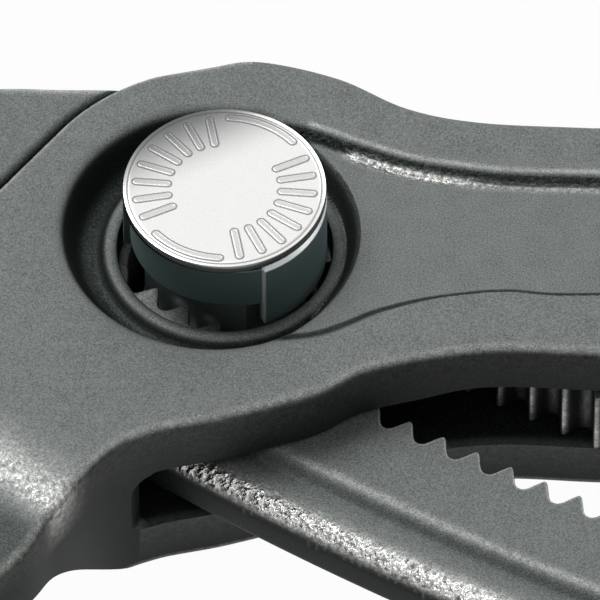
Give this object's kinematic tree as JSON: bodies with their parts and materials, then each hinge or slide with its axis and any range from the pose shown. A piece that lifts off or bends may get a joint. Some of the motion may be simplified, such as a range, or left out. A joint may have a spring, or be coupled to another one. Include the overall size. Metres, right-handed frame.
{
  "type": "tongue and groove pliers",
  "caption": "Tongue and groove pliers with a box joint, a toothed adjusting slot and a push button that frees it, lying on their back with the jaws closed.",
  "frame": {"origin": "on the pivot axis, in the plane of the outer leg's back face", "axes": "+X along the outer leg's handle, +Y away from the inner leg's handle, +Z out of the button"},
  "size_m": [0.2587, 0.0874, 0.02],
  "materials": {
    "forged_steel": "drop forged, blasted and phosphated grey",
    "blackened_steel": "blackened, slightly glossy",
    "nickel_plate": "satin nickel plate",
    "spring_steel": "bright wire",
    "grip_shell": "moulded plastic, fine grained",
    "grip_inlay": "soft moulded plastic"
  },
  "bodies": {
    "outer_leg": {"outer_leg": "forged_steel", "rear_cap": "blackened_steel", "outer_grip": "grip_shell", "outer_grip_inlay": "grip_inlay"},
    "bolt_carrier": {"spring_washer": "spring_steel", "return_spring": "spring_steel"},
    "button": {"toothed_bolt": "blackened_steel", "button_body": "blackened_steel", "button_cap": "nickel_plate"},
    "inner_leg": {"inner_leg": "forged_steel", "inner_grip": "grip_shell", "inner_grip_inlay": "grip_inlay"}
  },
  "joints": [
    {"name": "handle_pivot", "type": "hinge", "parent": "outer_leg", "child": "bolt_carrier", "pos_m": [0, 0, 0.0078], "axis": [0, 0, -1], "range_deg": [0, 15]},
    {"name": "button_press", "type": "slide", "parent": "bolt_carrier", "child": "button", "axis": [0, 0, -1], "range_m": [0, 0.0022], "stiffness_N_per_m": 1500, "springref_m": -0.003, "deforming": ["return_spring"]},
    {"name": "slot_adjust", "type": "hinge", "parent": "bolt_carrier", "child": "inner_leg", "pos_m": [0.12343, 0.16989, 0.0078], "axis": [0, 0, -1], "range_deg": [0, 8.81]}
  ]
}
